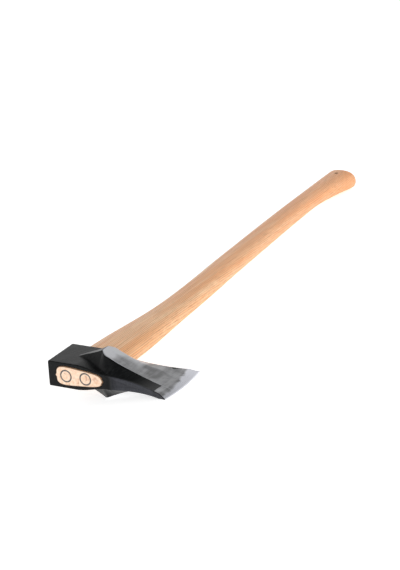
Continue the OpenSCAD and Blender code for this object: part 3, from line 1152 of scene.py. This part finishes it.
        # painted highlight: a bright line in the honed colour just inside where the ground face meets
        # the paint
        from_rim = b.math("ABSOLUTE", b.minus(b.attribute("ground"), 0.5))
        rim = b.ramp(from_rim, 0.2, 0.7, 1.0, 0.0)
        rim = b.times(rim, b.ramp(from_edge, 60.0, 100.0, 0.35, 1.0))
        steel = b.blend(rim, steel, self.honed)
        # painted highlight along the last two millimetres of the cutting edge
        steel = b.blend(b.ramp(from_edge, 1.6, 2.2, 1.0, 0.0), steel, self.edge_highlight)
        rough = b.between(band, b.ramp(lines, 0.3, 0.7, 0.36, 0.52), b.ramp(lines, 0.3, 0.7, 0.26, 0.36))
        height = b.add(b.ramp(lines, 0.2, 0.8, 0.0, 0.2), b.ramp(broad, 0.2, 0.8, 0.0, 0.4))
        return steel, rough, height


@dataclass(frozen=True)
class OiledHardwood:
    """Pale straight-grained hardwood under a thin satin oil, with open end grain at the eye."""

    hang_at: tuple[float, float]
    pale: Colour = tone(254, 210, 162)
    warm: Colour = tone(252, 188, 130)
    ruddy: Colour = tone(246, 154, 96)
    line: Colour = tone(178, 130, 94)
    pore: Colour = tone(146, 104, 74)
    end_pale: Colour = tone(246, 220, 196)
    end_warm: Colour = tone(236, 196, 164)
    end_stain: Colour = tone(196, 146, 120)
    # painted shadow: the dark line round the tongue's end, in its gap to the eye
    end_rim_shadow: Colour = tone(44, 30, 22)
    # painted shade: the dark inside and just round the hanging hole
    hole: Colour = tone(54, 34, 22)
    relief: float = 0.00012
    shine: float = 0.4
    hang_radius_mm: float = 2.5
    ring_spacing_mm: float = 2.5
    heart: Triple = (-190.0, 0.0, 150.0)

    def build(self) -> bpy.types.Material:
        """Mixes the long grain and the end grain, which shows where the tongue's end lies.

        Returns:
            The material.
        """
        b = Bench("oiled_hardwood")
        colour, fibre = self.long_grain(b)
        end, end_height = self.end_grain(b)
        along = b.coordinate("Y")
        at_end = b.ramp(along, -0.5, 0.1, 1.0, 0.0)
        away = b.node("VectorMath", {0: self.from_hang(b)}, operation="LENGTH").outputs["Value"]
        shade = b.ramp(away, self.hang_radius_mm - 0.2, self.hang_radius_mm + 0.9, 0.92, 0.0)
        colour = b.blend(shade, colour, self.hole)
        rough = b.add(b.ramp(fibre, 0.3, 0.7, 0.4, 0.54), b.times(at_end, 0.2))
        return b.finish(
            Base_Color=b.blend(at_end, colour, end),
            Roughness=rough,
            Normal=b.bump(b.between(at_end, fibre, end_height), self.relief),
            Specular_IOR_Level=self.shine,
        )

    def from_hang(self, b: Bench) -> Socket:
        """The way from the hanging hole's line, square to it, in millimetres."""
        x, y = self.hang_at
        middle = {"Vector": b.design, "Location": (-x, -y, 0.0), "Scale": (1.0, 1.0, 0.0)}
        return b.node("Mapping", middle).outputs["Vector"]

    def long_grain(self, b: Bench) -> tuple[Socket, Socket]:
        """Growth rings round a far heart, cut at a slight slant, with fibres and pores drawn out
        along the handle.

        The rings are a sine of the distance from the heart's line over the ring spacing, and a
        slow noise bends them, so that they run as long, nearly straight lines.

        Args:
            b: The handle's bench.

        Returns:
            Colour and height.
        """
        bend = b.streaks((0.02, 0.0035, 0.02), 3.0)
        point = b.node("Mapping", {"Vector": b.design, "Location": tuple(-c for c in self.heart)})
        split = b.node("SeparateXYZ", {"Vector": point.outputs["Vector"]})
        x, z = split.outputs["X"], split.outputs["Z"]
        squares = b.add(b.times(x, x), b.times(z, z))
        radius = b.add(b.math("SQRT", squares), b.ramp(bend, 0.2, 0.8, -2.0, 2.0))
        turns = b.times(radius, 2 * math.pi / self.ring_spacing_mm)
        ring = b.ramp(b.math("SINE", turns), -1.0, 1.0)
        late = b.math("POWER", ring, 2.0)
        fibres = b.streaks((0.9, 0.008, 0.9), 5.0, Roughness=0.62)
        fine = b.streaks((2.6, 0.02, 2.6), 3.0, Roughness=0.6)
        broad = b.streaks((0.09, 0.004, 0.09), 3.0)
        pores = b.ramp(b.streaks((3.4, 0.12, 3.4), 1.0), 0.66, 0.74)
        colour = b.blend(b.ramp(broad, 0.36, 0.64), self.pale, self.warm)
        along = b.coordinate("Y")
        towards_knob = b.ramp(along, 300.0, 850.0, 0.0, 0.3)
        redder = b.add(b.ramp(fibres, 0.42, 0.72, 0.0, 0.6), towards_knob)
        colour = b.blend(redder, colour, self.ruddy)
        late_lines = b.times(late, b.ramp(fibres, 0.36, 0.6, 0.15, 0.72))
        colour = b.blend(late_lines, colour, self.line)
        colour = b.blend(b.ramp(fine, 0.46, 0.7, 0.0, 0.5), colour, self.line)
        late_pores = b.times(pores, b.ramp(late, 0.1, 0.7, 0.15, 0.6))
        colour = b.blend(late_pores, colour, self.pore)
        height = b.add(b.ramp(fibres, 0.2, 0.8, 0.0, 0.5), b.ramp(fine, 0.2, 0.8, 0.0, 0.3))
        return colour, b.minus(height, b.times(pores, 0.3))

    def end_grain(self, b: Bench) -> tuple[Socket, Socket]:
        """Cut fibres: pale, mottled, stained where oil has crept in, and dark round the rim as a painted
        shadow in the gap to the eye.

        Args:
            b: The handle's bench.

        Returns:
            Colour and height.
        """
        mottle = b.noise(b.design, 0.2, 4.0, Roughness=0.6)
        blots = b.noise(b.design, 0.13, 3.0, Distortion=0.8)
        pores = b.noise(b.design, 2.4, 2.0)
        colour = b.blend(b.ramp(mottle, 0.38, 0.66), self.end_pale, self.end_warm)
        colour = b.blend(b.ramp(blots, 0.56, 0.7, 0.0, 0.75), colour, self.end_stain)
        colour = b.blend(b.ramp(pores, 0.58, 0.7, 0.0, 0.35), colour, self.end_stain)
        # painted shadow: dark in the gap round the tongue's end
        rim = b.ramp(b.attribute("from_rim"), 0.3, 1.3, 0.96, 0.0)
        return b.blend(rim, colour, self.end_rim_shadow), b.times(pores, 0.8)


@dataclass(frozen=True)
class DrivenSteel:
    """Dull dark steel, turned, with hammer scuffs on its flat end."""

    dark: Colour = tone(92, 90, 90)
    scuffed: Colour = tone(150, 148, 146)
    relief: float = 0.00008

    def build(self) -> bpy.types.Material:
        """Mixes turned lines and scuffs.

        Returns:
            The material.
        """
        b = Bench("driven_steel")
        lines = b.streaks((0.3, 6.0, 0.3), 2.0)
        scuffs = b.streaks((0.5, 0.5, 1.6), 3.0, turn=30)
        return b.finish(
            Base_Color=b.blend(b.ramp(scuffs, 0.5, 0.7), self.dark, self.scuffed),
            Metallic=1.0,
            Roughness=b.ramp(lines, 0.3, 0.7, 0.34, 0.5),
            Normal=b.bump(scuffs, self.relief),
        )


@dataclass(frozen=True)
class Softbox:
    """A square light that looks at the middle of the tool: its place, side and watts."""

    name: str
    place: Triple
    size: float
    power: float


@dataclass
class Studio:
    """A plain pale floor, soft light and the camera."""

    pose: RestPose
    azimuth: float = 29.18
    elevation: float = 20.79
    roll: float = -3.29
    stand: Triple = (1.3298, -2.0394, 1.0438)
    lens: float = 126.24
    key: Softbox = Softbox("key_light", place=(1.2, -2.3, 1.25), size=1.6, power=9.0)
    fill: Softbox = Softbox("fill_light", place=(2.3, 0.9, 1.2), size=1.2, power=4.0)
    floor_reach: float = 60.0
    floor_grey: float = 0.9
    floor_roughness: float = 0.9
    floor_glow: float = 0.62
    dim_from: float = 0.4
    dim_to: float = 0.82
    horizon_glow: float = 1.34
    overhead_glow: float = 0.14

    def build(self) -> None:
        """Makes the floor, the light and the camera."""
        self.add_floor()
        self.light_world()
        self.add_softbox(self.key)
        self.add_softbox(self.fill)
        self.add_camera()

    def add_floor(self) -> None:
        """One pale square at Z = 0, which glows a little so that it stays white."""
        reach = self.floor_reach
        mesh = bpy.data.meshes.new("floor")
        corners = [(-reach, -reach, 0), (reach, -reach, 0), (reach, reach, 0), (-reach, reach, 0)]
        mesh.from_pydata(corners, [], [(0, 1, 2, 3)])
        floor = linked("floor", mesh)
        material = Bench("pale_floor").finish(
            Base_Color=(self.floor_grey,) * 3,
            Roughness=self.floor_roughness,
            Specular_IOR_Level=0.0,
            Emission_Color=WHITE,
            Emission_Strength=self.floor_glow,
        )
        mesh.materials.append(material)

    def light_world(self) -> None:
        """A soft white room: bright round the horizon, dimmer overhead."""
        world = bpy.data.worlds.new("studio")
        bpy.context.scene.world = world
        world.use_nodes = True
        graph = Graph(world.node_tree)
        direction = graph.node("TexCoord", {}).outputs["Generated"]
        up = graph.node("SeparateXYZ", {"Vector": direction}).outputs["Z"]
        span = {"Value": up, "From Min": self.dim_from, "From Max": self.dim_to}
        span |= {"To Min": self.horizon_glow, "To Max": self.overhead_glow}
        glow = graph.node("MapRange", span, interpolation_type="SMOOTHSTEP")
        background = world.node_tree.nodes["Background"]
        graph.feed(background.inputs["Strength"], glow.outputs["Result"])
        graph.feed(background.inputs["Color"], WHITE)

    def add_softbox(self, box: Softbox) -> None:
        """Stands a softbox in its place and turns it to the middle of the tool.

        Args:
            box: The softbox.
        """
        light = bpy.data.lights.new(box.name, "AREA")
        light.shape = "SQUARE"
        light.size = box.size
        light.energy = box.power
        lamp = linked(box.name, light)
        place = np.array(box.place)
        back = place / np.linalg.norm(place)
        right = np.cross([0.0, 0.0, 1.0], back)
        right /= np.linalg.norm(right)
        lamp.matrix_world = self.standing(right, np.cross(back, right), back, place)

    @staticmethod
    def standing(right: np.ndarray, up: np.ndarray, back: np.ndarray, place: np.ndarray) -> Matrix:
        """A matrix from three axes and a place."""
        matrix = np.eye(4)
        matrix[:3] = np.stack([right, up, back, place], axis=1)
        return Matrix(matrix.tolist())

    def add_camera(self) -> None:
        """The camera, set by angles in the design frame and laid down with the tool."""
        a, e, r = np.radians([self.azimuth, self.elevation, self.roll])
        back = np.array([np.sin(a) * np.cos(e), -np.cos(a) * np.cos(e), np.sin(e)])
        level = np.array([np.cos(a), np.sin(a), 0.0])
        lift = np.cross(back, level)
        right, up = np.cos(r) * level + np.sin(r) * lift, np.cos(r) * lift - np.sin(r) * level
        data = bpy.data.cameras.new("camera")
        data.lens = self.lens
        data.clip_end = 4 * self.floor_reach
        camera = linked("camera", data)
        turned = [self.pose.turn(axis) for axis in (right, up, back)]
        camera.matrix_world = self.standing(*turned, self.pose.place(np.array(self.stand)))
        bpy.context.scene.camera = camera
        bpy.context.scene.view_settings.view_transform = "Standard"


def main() -> None:
    """Builds the maul piece by piece, then the studio round it."""
    logging.basicConfig(level=logging.INFO, format="%(name)s: %(message)s")
    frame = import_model()
    head = Head()
    pose = RestPose.from_record(frame["record"], head.poll_middle)
    wedges = [RingWedge("ring_wedge_rear", -20 * MM), RingWedge("ring_wedge_front", 10 * MM)]
    head.build(pose, ForgedHead().build())
    handle = Handle(head, wedges)
    handle.build(pose, OiledHardwood(handle.hang_at).build())
    steel = DrivenSteel().build()
    for wedge in wedges:
        wedge.build(pose, steel)
    Studio(pose).build()


if __name__ == "__main__":
    main()
